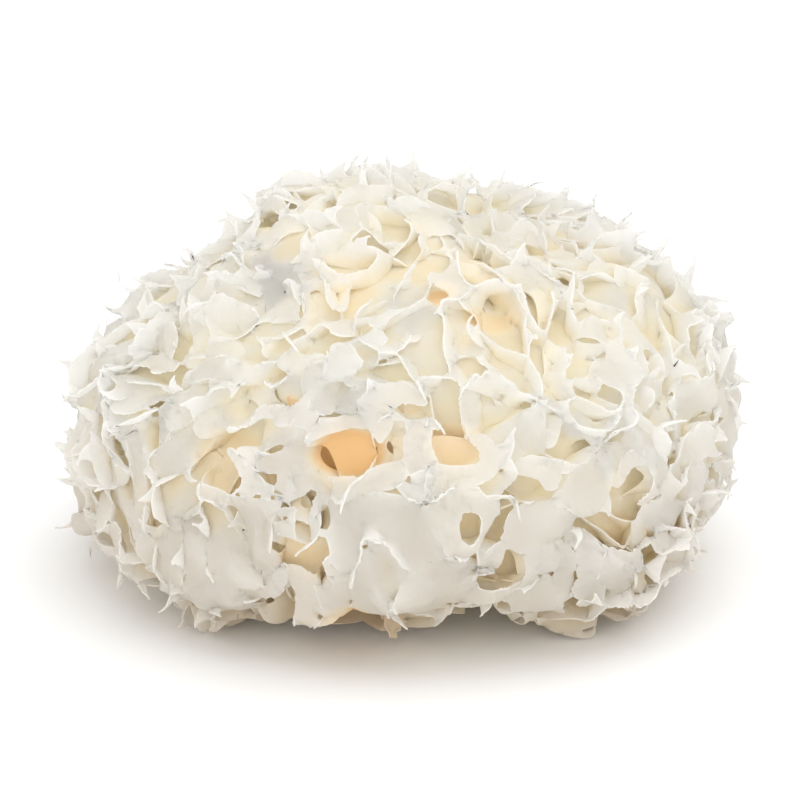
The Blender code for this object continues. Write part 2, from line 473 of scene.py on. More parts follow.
class Grid:
    """A box of evenly spaced points, with its smooth noise."""

    def __init__(self, pitch, chance):
        self.pitch = pitch
        self.chance = chance
        self.shape = tuple(int(count) for count in np.ceil((GRID_HIGH - GRID_LOW) / pitch))
        self.axes = [GRID_LOW[a] + pitch * np.arange(self.shape[a]) for a in range(3)]
        sparse = np.meshgrid(*self.axes, indexing="ij", sparse=True)
        self.place = [np.broadcast_to(part.astype(np.float32), self.shape) for part in sparse]
        arms = [part - np.float32(GROWTH_CENTRE[a]) for a, part in enumerate(self.place)]
        self.radius = np.sqrt(sum(arm * arm for arm in arms)) + TINY
        self.ways = np.stack([arm / self.radius for arm in arms], axis=-1)

    def noise(self, size):
        """Smooth noise with a spread of one, and one random number in every size, joined by cubic curves."""
        steps = size / self.pitch
        field = self.chance.standard_normal([int(count / steps) + 5 for count in self.shape])
        field = field.astype(np.float32)
        for axis, count in enumerate(self.shape):
            place = np.arange(count) / steps + 1.5
            whole = np.floor(place).astype(int)
            part = place - whole
            weights = (
                (1 - part) ** 3 / 6,
                (3 * part ** 3 - 6 * part ** 2 + 4) / 6,
                (-3 * part ** 3 + 3 * part ** 2 + 3 * part + 1) / 6,
                part ** 3 / 6,
            )
            spread = np.zeros((count, field.shape[axis]), np.float32)
            for step, weight in enumerate(weights):
                spread[np.arange(count), whole - 1 + step] = weight
            field = np.moveaxis(np.tensordot(spread, field, axes=(1, axis)), 0, axis)
        return np.ascontiguousarray(field) / field.std()

    def read(self, field, points):
        """A field's values at points, from the grid point nearest each."""
        index = np.rint((points - GRID_LOW) / self.pitch).astype(int)
        index = np.clip(index, 0, np.array(self.shape) - 1)
        return field[tuple(index.T)]


class Dome:
    """The surface that the frond tips reach, as a map of reach over bearing and height."""

    def __init__(self, tree):
        ways = even_ways(DOME_WAYS)
        centre = Vector(GROWTH_CENTRE)
        reach = np.array([tree.ray_cast(centre, Vector(way))[3] for way in ways])
        near = ways @ ways.T > math.cos(math.radians(TIP_SPREAD))
        tips = np.where(near, reach[None, :], 0).max(axis=1)
        bearings = np.arange(-180, 180 + DOME_STEP, DOME_STEP)
        heights = np.arange(-90, 90 + DOME_STEP, DOME_STEP)
        bearing, height = np.meshgrid(bearings, heights, indexing="ij")
        grid = ways_at(bearing, height).reshape(-1, 3)
        weight = np.exp((grid @ ways.T - 1) / math.radians(DOME_BLUR) ** 2)
        self.map = ((weight @ tips) / weight.sum(axis=1)).reshape(bearing.shape) + TIP_GROWTH

    def reach(self, ways):
        """Reach of the frond tips in these directions."""
        bearing = np.degrees(np.arctan2(ways[..., 0], -ways[..., 1]))
        height = np.degrees(np.arcsin(np.clip(ways[..., 2], -1, 1)))
        x = (bearing + 180) / DOME_STEP
        y = (height + 90) / DOME_STEP
        column = np.clip(np.floor(x).astype(int), 0, self.map.shape[0] - 2)
        row = np.clip(np.floor(y).astype(int), 0, self.map.shape[1] - 2)
        across, up = x - column, y - row
        left = self.map[column, row] * (1 - up) + self.map[column, row + 1] * up
        right = self.map[column + 1, row] * (1 - up) + self.map[column + 1, row + 1] * up
        return left * (1 - across) + right * across


def underside_heights(tree, grid):
    """Height of the solid's underside over each column of the grid, which the rim keeps to as well."""
    under = np.full(grid.shape[:2], UNDER_TOP, np.float32)
    for i, x in enumerate(grid.axes[0]):
        for j, y in enumerate(grid.axes[1]):
            place = tree.ray_cast(Vector((x, y, BELOW_FLOOR)), Vector((0, 0, 1)))[0]
            if place is not None:
                under[i, j] = min(place.z, UNDER_TOP)
    return under


def height_above(grid, under):
    """Each low grid point's distance from the underside's surface, found by stepping outwards from it."""
    levels = int((UNDER_REACH - GRID_LOW[2]) / grid.pitch)
    shape = (grid.shape[0] + 2, grid.shape[1] + 2, levels + 2)
    away = np.full(shape, UNDER_REACH, np.float32)
    inner = away[1:-1, 1:-1, 1:-1]
    inner[grid.place[2][:, :, :levels] < under[:, :, None]] = 0.0
    steps = [(i, j, k) for i in (-1, 0, 1) for j in (-1, 0, 1) for k in (-1, 0, 1) if (i, j, k) != (0, 0, 0)]
    for _ in range(int(UNDER_REACH / grid.pitch)):
        before = away.copy()
        for i, j, k in steps:
            moved = before[1 + i:shape[0] - 1 + i, 1 + j:shape[1] - 1 + j, 1 + k:shape[2] - 1 + k]
            np.minimum(inner, moved + np.float32(grid.pitch * math.sqrt(i * i + j * j + k * k)), out=inner)
    full = np.full(grid.shape, UNDER_REACH, np.float32)
    full[:, :, :levels] = inner
    return full


def in_sheets(ways):
    """1 in the middle of the broad sheets, falling to 0 at their edges."""
    inside = np.zeros(ways.shape[:-1], np.float32)
    bearing = np.degrees(np.arctan2(ways[..., 0], -ways[..., 1]))
    height = np.degrees(np.arcsin(ways[..., 2]))
    for middle, level, across, up in BROAD_SHEETS:
        away = np.hypot((bearing - middle) / across, (height - level) / up)
        inside = np.maximum(inside, 1 - smooth_step(*SHEET_FADE, away))
    return inside


def front_share(ways):
    """1 low on the front and 0 elsewhere."""
    return smooth_step(*FRONT_FADE, ways @ ways_at(*FRONT_MIDDLE))


def cell_widths(ways):
    """Width of the cells in these directions: wide low on the front, narrow on top and round the back."""
    return CELL_WIDTH + (WIDE_CELL - CELL_WIDTH) * front_share(ways)


def scatter(dome, chance, taken):
    """Directions no closer together than their cells' widths, beside those already taken."""
    tried = chance.standard_normal((TRIED_WAYS, 3))
    tried /= np.linalg.norm(tried, axis=1)[:, None]
    reach = dome.reach(tried) * GAP_REACH
    widths = cell_widths(tried) * chance.uniform(*WIDTH_SPREAD, TRIED_WAYS)
    ways = np.zeros((len(taken) + TRIED_WAYS, 3))
    rooms = np.zeros(len(ways))
    count = len(taken)
    for index, (way, width) in enumerate(taken):
        ways[index], rooms[index] = way, width
    for way, far, width in zip(tried, reach, widths):
        gaps = far * np.linalg.norm(ways[:count] - way, axis=1) - (width + rooms[:count]) / 2
        if gaps.min() >= 0:
            ways[count], rooms[count] = way, width
            count += 1
    return ways[:count], rooms[:count]


def joined_groups(count, pairs):
    """One number for each group of things that the pairs join."""
    root = np.arange(count)
    while True:
        first, second = root[pairs[:, 0]], root[pairs[:, 1]]
        small = np.minimum(first, second)
        fresh = root.copy()
        np.minimum.at(fresh, first, small)
        np.minimum.at(fresh, second, small)
        fresh = fresh[fresh]
        fresh = fresh[fresh]
        if np.array_equal(fresh, root):
            return root
        root = fresh


class Pocket:
    """One of the front's openings, as an oval on the dome."""

    def __init__(self, dome, row):
        bearing, height, wide, tall, turn, self.warmth = row
        self.way = ways_at(bearing, height)
        self.width = 0.5 * (wide + tall) + POCKET_ROOM
        self.middle = GROWTH_CENTRE + self.way * dome.reach(self.way[None])[0]
        level = np.cross(self.way, [0.0, 0.0, 1.0])
        level /= np.linalg.norm(level)
        rise = np.cross(level, self.way)
        turned = math.radians(turn)
        self.across = (level * math.cos(turned) + rise * math.sin(turned)) / (0.5 * wide)
        self.upward = (rise * math.cos(turned) - level * math.sin(turned)) / (0.5 * tall)

    def away(self, where):
        """How far places are from the oval's middle: 1 on its rim."""
        offset = where - self.middle
        return np.hypot(offset @ self.across, offset @ self.upward)


class Cells:
    """The foam's cells: where each lies, how wide it is and what closes it."""

    def __init__(self, dome, chance, pockets):
        outer, widths = scatter(dome, chance, [(pocket.way, pocket.width) for pocket in pockets])
        down = chance.uniform(*CELL_DEPTH, len(outer)) + WIDE_SINK * (widths - CELL_WIDTH)
        place = GROWTH_CENTRE + outer * (dome.reach(outer) - down)[:, None]
        place[:, 2] = np.maximum(place[:, 2], LOWEST_CELL)
        self.way = np.concatenate([np.zeros((FIRST_CELL, 3)), outer])
        self.place = np.concatenate([np.zeros((FIRST_CELL, 3)), place])
        self.width = np.concatenate([np.zeros(FIRST_CELL), widths])
        self.count = len(self.width)
        listed = slice(FIRST_CELL, FIRST_CELL + len(pockets))
        # The membrane across each cell: its depth, its tilt, and how far over the cell it reaches
        side = np.cross(self.way, chance.standard_normal((self.count, 3)))
        self.side = side / np.maximum(np.linalg.norm(side, axis=1), TINY)[:, None]
        self.membrane = chance.uniform(*MEMBRANE_DEPTH, self.count)
        self.tilt = self.side * chance.uniform(*MEMBRANE_TILT, self.count)[:, None]
        kind = chance.uniform(0, 1, self.count)
        closed_share = CLOSED_SHARE + SIDE_CLOSED * smooth_step(*SIDE_FADE, np.abs(self.way[:, 0]))
        self.bare = np.where(kind < closed_share, CLOSED, chance.uniform(*FLAP_EDGE, self.count))
        self.bare[kind > closed_share + FLAP_SHARE * (1 - closed_share) / (1 - CLOSED_SHARE)] = OPEN
        crown = smooth_step(*CROWN_FADE, self.way[:, 2])
        self.membrane += CROWN_SINK * crown
        changed = (self.bare == CLOSED) & (chance.uniform(0, 1, self.count) < CROWN_OPENED * crown)
        self.bare[changed] = chance.uniform(*CROWN_EDGE, self.count)[changed]
        self.membrane[listed], self.tilt[listed], self.bare[listed] = POCKET_MEMBRANE, 0.0, CLOSED
        # A smooth sheet that closes each pocket lower down, and lies too deep to matter in the other cells
        self.floor = np.ones(self.count)
        self.floor[listed] = np.interp([pocket.warmth for pocket in pockets], FLOOR_WARMTH, FLOOR_DEPTH)
        wide_open = [pocket.way[2] > OPEN_HEIGHT and pocket.width > OPEN_WIDTH for pocket in pockets]
        self.bare[listed][wide_open] = OPEN


def leaning_places(grid, dome, depth):
    """The grid's places shifted so that walls which run straight out there lean and wave in the fungus."""
    lean = np.stack([grid.noise(LEAN_SIZE) for _ in range(3)], axis=-1)
    lean[..., 2] -= DROOP
    lean -= grid.ways * np.sum(lean * grid.ways, axis=-1)[..., None]
    calm = np.maximum(SHEET_CALM * in_sheets(grid.ways), FRONT_CALM * front_share(grid.ways))
    shift = LEAN * (1 - calm) * np.clip(depth, 0, LEAN_DEPTH)
    shallow = 1 - smooth_step(*SHALLOW_FADE, depth)
    deep_height, more_height, fine_size = FINE_WAVE
    places = []
    for axis in range(3):
        wave = BROAD_WAVE[0] * grid.noise(BROAD_WAVE[1])
        wave = wave + (deep_height + more_height * shallow) * grid.noise(fine_size)
        places.append((grid.place[axis] + wave + shift * lean[..., axis]).astype(np.float32))
    return places


def label_grid(grid, cells, dome, under):
    """Which cell each grid point belongs to, its depth, and how far it is from where three cells meet."""
    depth = (dome.reach(grid.ways) - grid.radius).astype(np.float32)
    above_under = height_above(grid, under)
    depth = np.where(above_under < UNDER_REACH, np.minimum(depth, above_under + UNDER_SINK), depth)
    warped = leaning_places(grid, dome, depth)
    label = np.zeros(grid.shape, np.int32)
    nearest, second, third = (np.full(grid.shape, 1.0, np.float32) for _ in range(3))
    squash = np.float32(1 - 1 / CELL_STRETCH ** 2)
    seeds = np.stack([grid.read(warped[axis], cells.place) for axis in range(3)], axis=1)
    for number in range(FIRST_CELL, cells.count):
        place, axis = seeds[number], cells.way[number].astype(np.float32)
        middle = np.rint((cells.place[number] - GRID_LOW) / grid.pitch).astype(int)
        far = int((CELL_SEARCH + 0.5 * cells.width[number]) / grid.pitch)
        box = tuple(slice(max(0, m - far), m + far + 1) for m in middle)
        arms = [warped[a][box] - place[a] for a in range(3)]
        along = arms[0] * axis[0] + arms[1] * axis[1] + arms[2] * axis[2]
        away = arms[0] ** 2 + arms[1] ** 2 + arms[2] ** 2 - squash * along * along
        away -= np.float32((0.5 * (cells.width[number] - CELL_WIDTH)) ** 2)
        closer = away < nearest[box]
        label[box] = np.where(closer, number, label[box])
        third[box] = np.minimum(third[box], np.maximum(second[box], away))
        second[box] = np.minimum(second[box], np.maximum(nearest[box], away))
        nearest[box] = np.minimum(nearest[box], away)
    junction = (third - nearest) / (0.5 * CELL_WIDTH ** 2)
    fold = sum(np.float32(height) * grid.noise(size) for height, size in FOLDS)
    core = CORE_DEPTH + (FRONT_CORE_DEPTH - CORE_DEPTH) * front_share(grid.ways)
    core = core + CORE_LUMPS[0] * grid.noise(CORE_LUMPS[1])
    inside = np.nonzero((label >= FIRST_CELL) & (depth < core))
    which = label[inside]
    label[(depth > core) | (label < FIRST_CELL)] = CORE
    tilt = sum((grid.place[a][inside] - cells.place[which, a]) * cells.tilt[which, a] for a in range(3))
    sheet = in_sheets(grid.ways[inside])
    level = np.maximum(cells.membrane[which] + np.clip(tilt, *TILT_LIMITS), MEMBRANE_LEAST)
    level = (1 - sheet) * level + sheet * SHEET_DEPTH
    above = depth[inside] + fold[inside] < level
    below = depth[inside] + fold[inside] > cells.floor[which]
    label[inside] = which + cells.count * above + 2 * cells.count * below
    label[depth + fold < SKIN_DEPTH] = OUTSIDE
    label[grid.place[2] < under[:, :, None]] = OUTSIDE
    cut = (np.hypot(grid.place[0], grid.place[1]) < BASE_RADIUS) & (grid.place[2] < under[:, :, None])
    label[cut] = UNDER
    return label, depth, junction


def kept_walls(grid, cells, pockets, label, depth, junction):
    """The walls between cells that the fungus has, as (points, quads, cells on each quad's two sides)."""
    base_cut = CUT_DEPTH + CUT_UNEVEN[0] * grid.noise(CUT_UNEVEN[1])
    tear = grid.noise(TEAR_SIZE)
    salt = grid.chance.integers(0, 1 << 30, 2)
    found = []
    for axis in range(3):
        here = tuple(slice(0, -1) if a == axis else slice(None) for a in range(3))
        after = tuple(slice(1, None) if a == axis else slice(None) for a in range(3))
        step = np.zeros(3, int)
        step[axis] = 1
        first = np.argwhere((label[here] != label[after]) & (np.maximum(label[here], label[after]) > UNDER))
        near, beyond = tuple(first.T), tuple((first + step).T)
        one, two = label[near], label[beyond]
        small, large = np.minimum(one, two), np.maximum(one, two)
        mixed = (small.astype(np.int64) * MIXERS[0]) ^ (large.astype(np.int64) * MIXERS[1])
        draw = (mixed ^ salt[0]) % DRAW_COUNTS[0] / DRAW_COUNTS[0]
        other_draw = (mixed * MIXERS[2] ^ salt[1]) % DRAW_COUNTS[1] / DRAW_COUNTS[1]
        deep = 0.5 * (depth[near] + depth[beyond])
        ways = grid.ways[near]
        where = GRID_LOW + (first + 0.5 * step) * grid.pitch
        opening = np.full(len(first), 9.0)
        for pocket in pockets:
            opening = np.minimum(opening, pocket.away(where) + POCKET_TEAR * tear[near])
        ring = RING_STRENGTH * (1 - smooth_step(*RING_FADE, opening))
        ring = ring * smooth_step(*RING_FRONT, ways @ ways_at(*RING_MIDDLE))
        sheet = np.maximum(in_sheets(ways), ring) + SHEET_TEAR * tear[near]
        low = 1 - smooth_step(*LOW_FADE, ways[:, 2])
        cap = low + LOW_TEAR * tear[near] > 0.5
        rib = draw > RIB_DRAW
        # A free edge rises to a point where three walls meet and dips between
        span = np.clip(0.5 * (junction[near] + junction[beyond]), 0, SPAN_MOST)
        dip = (EDGE_DIP[0] + EDGE_DIP[1] * draw) * span * (2 - span)
        dip *= 1 - FOOT_DIP * (where[:, 2] < FOOT_HEIGHT)
        cut = base_cut[near] + dip + NOTCH_DEPTH * (other_draw < NOTCH_SHARE) + POCKET_CUT * (opening < 1)
        flat = (sheet > 0.5) & (opening > 1)
        wall = np.where(flat, deep > np.where(rib, RIB_DEPTH, SHEET_DEPTH), deep > cut)
        # A membrane that closes the cell, reaches over part of it, or is missing
        lower = small % cells.count
        offset = np.einsum("ij,ij->i", where - cells.place[lower], cells.side[lower])
        bare = cells.bare[lower] + FLAP_TEAR * tear[near]
        over = offset / np.maximum(cells.width[lower], CELL_WIDTH) > bare
        membrane = (((sheet > 0.5) | over | (low > 0.5)) & (opening > 1)) | (large >= 2 * cells.count)
        same = lower == large % cells.count
        cases = [small == OUTSIDE, small == UNDER, small == CORE, same]
        keep = np.select(cases, [cap, True, True, membrane], wall)
        sides = [np.eye(3, dtype=int)[a] for a in range(3) if a != axis]
        base = first + step
        corners = np.stack([base, base + sides[0], base + sides[0] + sides[1], base + sides[1]], axis=1)
        turned = (one < two) if axis == 1 else (one > two)
        corners[turned] = corners[turned][:, ::-1]
        found.append((corners, small, large, keep))
    corners, small, large, keep = (np.concatenate(parts) for parts in zip(*found))
    owners = np.stack([small, large], axis=1)
    left_out = np.unique(np.concatenate([owners[~keep], [[OUTSIDE, UNDER]]]), axis=0)
    group = joined_groups(3 * cells.count, left_out)
    seen = group == group[OUTSIDE]
    keep &= seen[small] | seen[large]
    corners, owners = corners[keep], owners[keep]
    size = np.array(grid.shape) + 1
    flat = (corners[..., 0] * size[1] + corners[..., 1]) * size[2] + corners[..., 2]
    used, quads = np.unique(flat, return_inverse=True)
    index = np.stack([used // (size[1] * size[2]), used // size[2] % size[1], used % size[2]], axis=1)
    return GRID_LOW + (index - 0.5) * grid.pitch, quads.reshape(-1, 4), owners


def side_uses(quads):
    """How many quads share each of the four sides of each quad."""
    after = np.roll(quads, -1, axis=1)
    key = np.minimum(quads, after).astype(np.int64) * (quads.max() + 1) + np.maximum(quads, after)
    _, inverse, count = np.unique(key, return_inverse=True, return_counts=True)
    return count[inverse].reshape(quads.shape)


def walls_of(owners):
    """The number of the wall that each quad is part of, and how many quads each wall has."""
    key = owners[:, 0].astype(np.int64) * (owners.max() + 1) + owners[:, 1]
    _, patch, size = np.unique(key, return_inverse=True, return_counts=True)
    return patch, size


def pruned(quads, owners):
    """Leave out scraps: walls of only a few quads, and strips one quad wide that hang free."""
    for _ in range(PRUNE_ROUNDS):
        patch, size = walls_of(owners)
        free = side_uses(quads) == 1
        strip = (free.sum(axis=1) > 2) | (free[:, 0] & free[:, 2]) | (free[:, 1] & free[:, 3])
        keep = (~strip & (size[patch] >= SMALLEST_WALL)) | (owners[:, 0] == CORE)
        quads, owners = quads[keep], owners[keep]
    return quads, owners


def edges_of(quads):
    """Every edge once, and how many quads have it."""
    sides = np.concatenate([quads[:, [0, 1]], quads[:, [1, 2]], quads[:, [2, 3]], quads[:, [3, 0]]])
    sides.sort(axis=1)
    key = sides[:, 0].astype(np.int64) * (quads.max() + 1) + sides[:, 1]
    _, first, count = np.unique(key, return_index=True, return_counts=True)
    return sides[first], count


def renumbered(quads):
    """The points that the quads use, and the quads with each point's place among those."""
    used, fresh = np.unique(quads, return_inverse=True)
    return used, fresh.reshape(-1, 4)


def seen_patches(points, quads, owners, chance):
    """Leave out each wall between two cells that no ray from outside can reach."""
    patch, _ = walls_of(owners)
    tree = BVHTree.FromPolygons(points.tolist(), quads.tolist())
    order = chance.permutation(len(quads))
    rank = np.argsort(patch[order], kind="stable")
    order = order[rank]
    starts = np.searchsorted(patch[order], np.arange(patch.max() + 2))
    few, many = ([Vector(way) for way in even_ways(count)] for count in SEEN_WAYS)
    seen = np.zeros(patch.max() + 1, bool)
    middles = points[quads].mean(axis=1)
    for number in range(len(seen)):
        core = int(owners[order[starts[number]], 0] == CORE)
        for index in order[starts[number]:starts[number + 1]][:SEEN_PLACES[core]]:
            middle = Vector(middles[index])
            for way in many if core else few:
                if tree.ray_cast(middle + way * SEEN_GAP, way, SEEN_REACH)[0] is None:
                    seen[number] = True
                    break
            if seen[number]:
                break
    keep = seen[patch]
    return quads[keep], owners[keep]


def main_piece(points, quads, owners):
    """Leave out whatever isn't joined to the rest."""
    edges, _ = edges_of(quads)
    group = joined_groups(len(points), edges)
    keep = group[quads[:, 0]] == np.bincount(group).argmax()
    used, quads = renumbered(quads[keep])
    return points[used], quads, owners[keep]


def with_neighbours(total, values, pairs):
    """A total for each point, with its neighbours' values added."""
    for here, there in ((0, 1), (1, 0)):
        total = total + np.bincount(pairs[:, here], weights=values[pairs[:, there]], minlength=len(total))
    return total


def neighbour_mean(points, pairs):
    """The mean place of each point's neighbours."""
    empty = np.zeros(len(points))
    number = with_neighbours(empty, np.ones(len(points)), pairs)
    total = np.stack([with_neighbours(empty, points[:, axis], pairs) for axis in range(3)], axis=1)
    return total / np.maximum(number, 1)[:, None]


def relax(points, quads):
    """Smooth the sheets like soap films, and free edges and the lines where sheets meet along themselves."""
    edges, count = edges_of(quads)
    free, meeting = edges[count == 1], edges[count > 2]
    rim, seam = np.zeros(len(points), bool), np.zeros(len(points), bool)
    rim[free.ravel()] = True
    seam[meeting.ravel()] = True
    ends = np.bincount(meeting.ravel(), minlength=len(points)) == 1
    for _ in range(RELAX_ROUNDS):
        for _ in range(EDGE_ROUNDS):
            along = neighbour_mean(points, free)
            points = points + EDGE_STEP * (rim & ~seam)[:, None] * (along - points)
            along = neighbour_mean(points, meeting)
            points = points + EDGE_STEP * (seam & ~ends)[:, None] * (along - points)
        mean = neighbour_mean(points, edges)
        points = points + FILM_STEP * ~(rim | seam)[:, None] * (mean - points)
        points = points + END_STEP * ends[:, None] * (mean - points)
    near = rim.astype(float)
    for _ in range(RIM_STEPS):
        spread = near.copy()
        for here, there in ((0, 1), (1, 0)):
            np.maximum.at(spread, edges[:, here], near[edges[:, there]] - 1 / RIM_STEPS)
        near = spread
    return points, near


def edge_run(ahead, start):
    """Points along a free edge, from a few before one of its points to a few after it."""
    arms = []
    for here in ahead[start]:
        arm, before = [here], start
        while len(arm) < HOOK_SIDE and here in ahead:
            first, second = ahead[here]
            before, here = here, (second if first == before else first)
            arm.append(here)
        arms.append(arm)
    return arms[0][::-1] + [start] + arms[1]


def hook_rows(base, rise, height, bend, curl):
    """Rows of points that narrow from a run of edge points to a bent tip."""
    middle = base[len(base) // 2]
    along = base[-1] - base[0]
    along /= np.linalg.norm(along)
    rise = rise - along * (rise @ along)
    rise /= np.linalg.norm(rise)
    side = np.cross(along, rise)
    rows = []
    for t in np.arange(1, HOOK_ROWS + 1) / HOOK_ROWS:
        climb = rise * t * (1 - HOOK_DROOP * abs(bend) * t)
        spine = middle + height * (climb + (along * bend + side * curl) * t * t)
        rows.append(spine + (base - middle) * (HOOK_TIP + (1 - HOOK_TIP) * (1 - t) ** HOOK_TAPER))
    return np.concatenate(rows)


def quads_between(numbers):
    """Quads that join rows of points, from a table of their numbers."""
    corners = (numbers[:-1, :-1], numbers[:-1, 1:], numbers[1:, 1:], numbers[1:, :-1])
    return np.stack(corners, axis=-1).reshape(-1, 4)


def add_hooks(points, quads, owners, near, dome, pockets, chance):
    """Raise pointed hooks from the free edges that lie close to the outside."""
    edges, count = edges_of(quads)
    ends = {}
    for first, second in edges[count == 1].tolist():
        ends.setdefault(first, []).append(second)
        ends.setdefault(second, []).append(first)
    ahead = {point: pair for point, pair in ends.items() if len(pair) == 2}
    inward = neighbour_mean(points, edges[count > 1])
    quad_at = np.zeros(len(points), int)
    quad_at[quads.ravel()] = np.repeat(np.arange(len(quads)), 4)
    tried = chance.permutation(np.array(sorted(ahead)))
    arms = points[tried] - GROWTH_CENTRE
    far = np.linalg.norm(arms, axis=1)
    down = dome.reach(arms / far[:, None]) - far
    tried = tried[(down < HOOK_DEPTH) & (arms[:, 2] > HOOK_LOWEST * far)]
    low, high = (np.array(corner) for corner in CAD_BOX)
    low, high = low - HOOK_SPARE * (high - low), high + HOOK_SPARE * (high - low)
    taken, rooms = np.zeros((0, 3)), np.zeros(0)
    fresh_points, fresh_quads, fresh_owners = [], [], []
    total = len(points)
    for start in tried.tolist():
        room = chance.uniform(*HOOK_ROOM)
        if (np.linalg.norm(taken - points[start], axis=1) < 0.5 * (room + rooms)).any():
            continue
        run = edge_run(ahead, start)
        out = points[start] - inward[start]
        out /= np.linalg.norm(out) + TINY
        way = points[start] - GROWTH_CENTRE
        way /= np.linalg.norm(way)
        if len(run) < 2 * HOOK_SIDE or len(set(run)) < len(run) or out @ way < HOOK_FACING:
            continue
        if min(pocket.away(points[start]) for pocket in pockets) < HOOK_CLEAR:
            continue
        height = chance.uniform(*HOOK_HEIGHT)
        bend = chance.choice((-1, 1)) * chance.uniform(*HOOK_BEND)
        curl = chance.uniform(-HOOK_CURL, HOOK_CURL)
        rows = hook_rows(points[run], out + HOOK_LEAN * way, height, bend, curl)
        if (rows < low).any() or (rows > high).any():
            continue
        taken, rooms = np.vstack([taken, points[start]]), np.append(rooms, room)
        numbers = np.array(run + list(range(total, total + len(rows)))).reshape(HOOK_ROWS + 1, len(run))
        total += len(rows)
        fresh_points.append(rows)
        fresh_quads.append(quads_between(numbers))
        fresh_owners.append(np.repeat(owners[quad_at[start]][None], len(fresh_quads[-1]), axis=0))
    points = np.concatenate([points, *fresh_points])
    near = np.concatenate([near, np.full(total - len(near), HOOK_NEAR_EDGE)])
    return points, np.concatenate([quads, *fresh_quads]), np.concatenate([owners, *fresh_owners]), near


def add_faces(name, points, quads):
    """A smooth mesh object of quads."""
    mesh = bpy.data.meshes.new(name)
    mesh.vertices.add(len(points))
    mesh.vertices.foreach_set("co", points.astype(np.float32).ravel())
    mesh.loops.add(quads.size)
    mesh.loops.foreach_set("vertex_index", quads.ravel().astype(np.int32))
    mesh.polygons.add(len(quads))
    mesh.polygons.foreach_set("loop_start", np.arange(0, quads.size, 4, dtype=np.int32))
    mesh.update(calc_edges=True)
    mesh.shade_smooth()
    piece = bpy.data.objects.new(name, mesh)
    bpy.context.scene.collection.objects.link(piece)
    return piece


def finish_piece(piece, marks, material, thickness):
    """Give a piece the marks that its finish reads, the finish and its thickness, and place it."""
    for name, values in marks.items():
        layer = piece.data.attributes.new(name, "FLOAT", "POINT")
        layer.data.foreach_set("value", values.astype(np.float32))
    piece.data.materials.append(material)
    thicken(piece, thickness)
    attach(piece, BODY)
    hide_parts(NODE)


def thicken(piece, thickness):
    """Give the sheets their thickness, also where three meet."""
    shell = piece.modifiers.new("thickness", "SOLIDIFY")
    shell.solidify_mode = "NON_MANIFOLD"
    shell.nonmanifold_thickness_mode = "FIXED"
    shell.nonmanifold_boundary_mode = "NONE"
    shell.thickness = thickness
    shell.offset = 0.0
    graph = bpy.context.evaluated_depsgraph_get()
    mesh = bpy.data.meshes.new_from_object(piece.evaluated_get(graph))
    mesh.name = piece.name
    mesh.set_sharp_from_angle(angle=math.radians(SHARP_TURN))
    thin = piece.data
    piece.modifiers.clear()
    piece.data = mesh
    bpy.data.meshes.remove(thin)


class Value:
    """A shader socket that can be written in a sum, with plain numbers on either side."""

    def __init__(self, tree, socket):
        self.tree = tree
        self.socket = socket

    def node(self, kind, inputs=(), output=0, **settings):
        """Any other node, from its type, its settings and the values or links of its sockets."""
        made = self.tree.nodes.new(kind)
        for name, value in settings.items():
            setattr(made, name, value)
        for key, value in dict(inputs).items():
            if isinstance(value, Value):
                self.tree.links.new(value.socket, made.inputs[key])
            else:
                made.inputs[key].default_value = value
        return Value(self.tree, made.outputs[output])

    def maths(self, operation, first, second):
        """One Math node."""
        return self.node("ShaderNodeMath", {0: first, 1: second}, operation=operation)

    def __add__(self, other):
        return self.maths("ADD", self, other)

    def __radd__(self, other):
        return self.maths("ADD", other, self)

    def __sub__(self, other):
        return self.maths("SUBTRACT", self, other)

    def __rsub__(self, other):
        return self.maths("SUBTRACT", other, self)

    def __mul__(self, other):
        return self.maths("MULTIPLY", self, other)

    def __rmul__(self, other):
        return self.maths("MULTIPLY", other, self)

    def held(self):
        """The value kept between 0 and 1."""
        return self.node("ShaderNodeClamp", {"Value": self})

    def between(self, low, high):
        """0 below low and 1 above high, with a smooth rise between them."""
        places = {"Value": self, "From Min": low, "From Max": high}
        return self.node("ShaderNodeMapRange", places, interpolation_type="SMOOTHSTEP")

    def blend(self, first, second):
        """A colour that goes from the first to the second as this value goes from 0 to 1."""
        places = {0: self, 6: first, 7: second}
        return self.node("ShaderNodeMix", places, output=2, data_type="RGBA")


def new_material(name):
    """A material with only a Principled shader, its output and a starting point for the maths."""
    material = bpy.data.materials.new(name)
    material.use_nodes = True
    tree = material.node_tree
    return material, tree, tree.nodes["Principled BSDF"], Value(tree, None)


